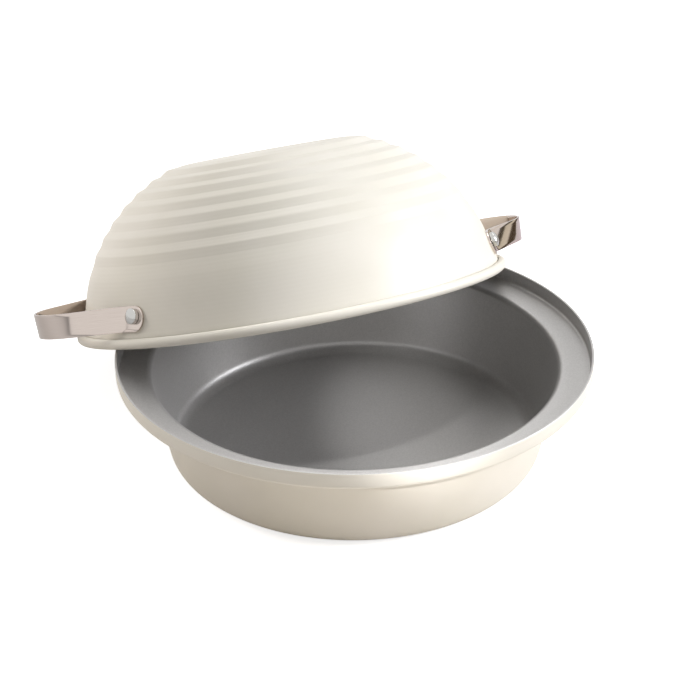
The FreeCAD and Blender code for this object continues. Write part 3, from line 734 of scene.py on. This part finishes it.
def seen_or_mirrored(tree):
    """1 for what the camera sees directly, in gloss or through glass, else 0."""
    path = add(tree, "ShaderNodeLightPath")
    first = add(tree, "ShaderNodeMath", {"operation": "MAXIMUM"},
                [(0, path, "Is Camera Ray"), (1, path, "Is Glossy Ray")])
    return add(tree, "ShaderNodeMath", {"operation": "MAXIMUM"},
               [(0, first, 0), (1, path, "Is Transmission Ray")])


def studio_world():
    """White for the camera and in reflections, plain soft light on the object."""
    world = bpy.data.worlds.new("studio")
    bpy.context.scene.world = world
    world.use_nodes = True
    tree = world.node_tree
    tree.nodes.clear()
    shown = seen_or_mirrored(tree)
    lit = add(tree, "ShaderNodeBackground", Color=linear("#FFFFFF"), Strength=WORLD_LIGHT)
    white = add(tree, "ShaderNodeBackground", Color=linear("#FFFFFF"), Strength=1.0)
    mix = add(tree, "ShaderNodeMixShader",
              links=[("Fac", shown, 0), (1, lit, 0), (2, white, 0)])
    add(tree, "ShaderNodeOutputWorld", links=[("Surface", mix, 0)])


def studio_floor():
    """Plain pale floor: lit like paper, and lifted to white for the camera where
    nothing shades it. What it throws back onto the object is a little darker and
    warmer."""
    corners = FLOOR_REACH * np.array([(-1, -1, 0), (1, -1, 0), (1, 1, 0), (-1, 1, 0)])
    floor = mesh_piece("floor", corners, [(0, 1, 2, 3)], [], smooth=False)
    material, tree = new_material("white_paper_floor")
    path = add(tree, "ShaderNodeLightPath")
    paper = add(tree, "ShaderNodeBsdfDiffuse", Color=linear(PAPER))
    dim = add(tree, "ShaderNodeBsdfDiffuse", Color=linear(PAPER_BOUNCE))
    glow = add(tree, "ShaderNodeEmission", Color=linear("#FFFFFF"), Strength=PAPER_LIFT)
    both = add(tree, "ShaderNodeAddShader", links=[(0, paper, 0), (1, glow, 0)])
    unseen = add(tree, "ShaderNodeMixShader",
                 links=[("Fac", path, "Is Glossy Ray"), (1, dim, 0), (2, paper, 0)])
    mix = add(tree, "ShaderNodeMixShader",
              links=[("Fac", path, "Is Camera Ray"), (1, unseen, 0), (2, both, 0)])
    add(tree, "ShaderNodeOutputMaterial", links=[("Surface", mix, 0)])
    floor.data.materials.append(material)


def painted_reflection_card():
    """Upright card behind the right strap that glows and shows only in gloss: its dark and
    light bands, one above the other, are painted reflections. The strap's tilt turns along its
    bend, so it mirrors them as stripes across it, as it mirrors a room."""
    along = np.array(CARD_ALONG) * CARD_WIDTH / 2
    middle = np.array(CARD_MIDDLE)
    top = np.array([0.0, 0.0, CARD_HEIGHT])
    corners = [middle - along, middle + along, middle + along + top, middle - along + top]
    card = mesh_piece("painted_reflection_card", corners, [(0, 1, 2, 3)], [], smooth=False)
    point_values(card, "share", [0, 0, 1, 1])
    material, tree = new_material("painted_reflection_card")
    share = add(tree, "ShaderNodeAttribute", {"attribute_name": "share"})
    ramp = add(tree, "ShaderNodeValToRGB", links=[("Fac", share, "Fac")])
    stops = ramp.color_ramp.elements
    stops[0].position, stops[0].color = 0.0, linear(CARD_BANDS[0][1])
    stops[1].position, stops[1].color = 1.0, linear(CARD_BANDS[-1][1])
    for position, colour in CARD_BANDS[1:-1]:
        stops.new(position).color = linear(colour)
    # The card glows in the bands' colours: a painted reflection, seen only in gloss.
    glow = add(tree, "ShaderNodeEmission", links=[("Color", ramp, "Color")], Strength=1.0)
    add(tree, "ShaderNodeOutputMaterial", links=[("Surface", glow, 0)])
    card.data.materials.append(material)
    card.visible_camera = card.visible_diffuse = card.visible_shadow = False


studio_world()
studio_floor()
# The key stands on the right, as in the photograph. A softer one behind on the left
# draws the lid's edge, one spot reaches the front ledge and the other, low in front,
# the pan's floor under the lid. These three show in no reflection.
soft_box("key_right", (2.0, -0.1, 0.9), (0, 0.05, 0.08), 1.0, 1.0, 48, "#F8FAFF")
edge_left = soft_box("edge_left", (-1.75, 0.7, 0.8), (0, 0.05, 0.08), 0.8, 0.7, 19, "#FFFAF7")
soft_box("top", (0.3, 0.9, 2.0), (0, 0.05, 0.05), 1.6, 1.6, 16, "#FFFFFF")
ledge_spot = spot_lamp("ledge_spot", (0.04, -0.33, 1.7), (0.03, -0.125, 0.06), 8.5, 0.1,
                       130, "#FFFFFF")
floor_spot = spot_lamp("floor_spot", (0.1, -1.2, 0.85), (0.03, 0.015, 0.002), 5, 0.012,
                       110, "#FFFFFF")
for lamp in (edge_left, ledge_spot, floor_spot):
    lamp.visible_glossy = False
painted_reflection_card()

scene = bpy.context.scene
scene.view_settings.view_transform = "Standard"
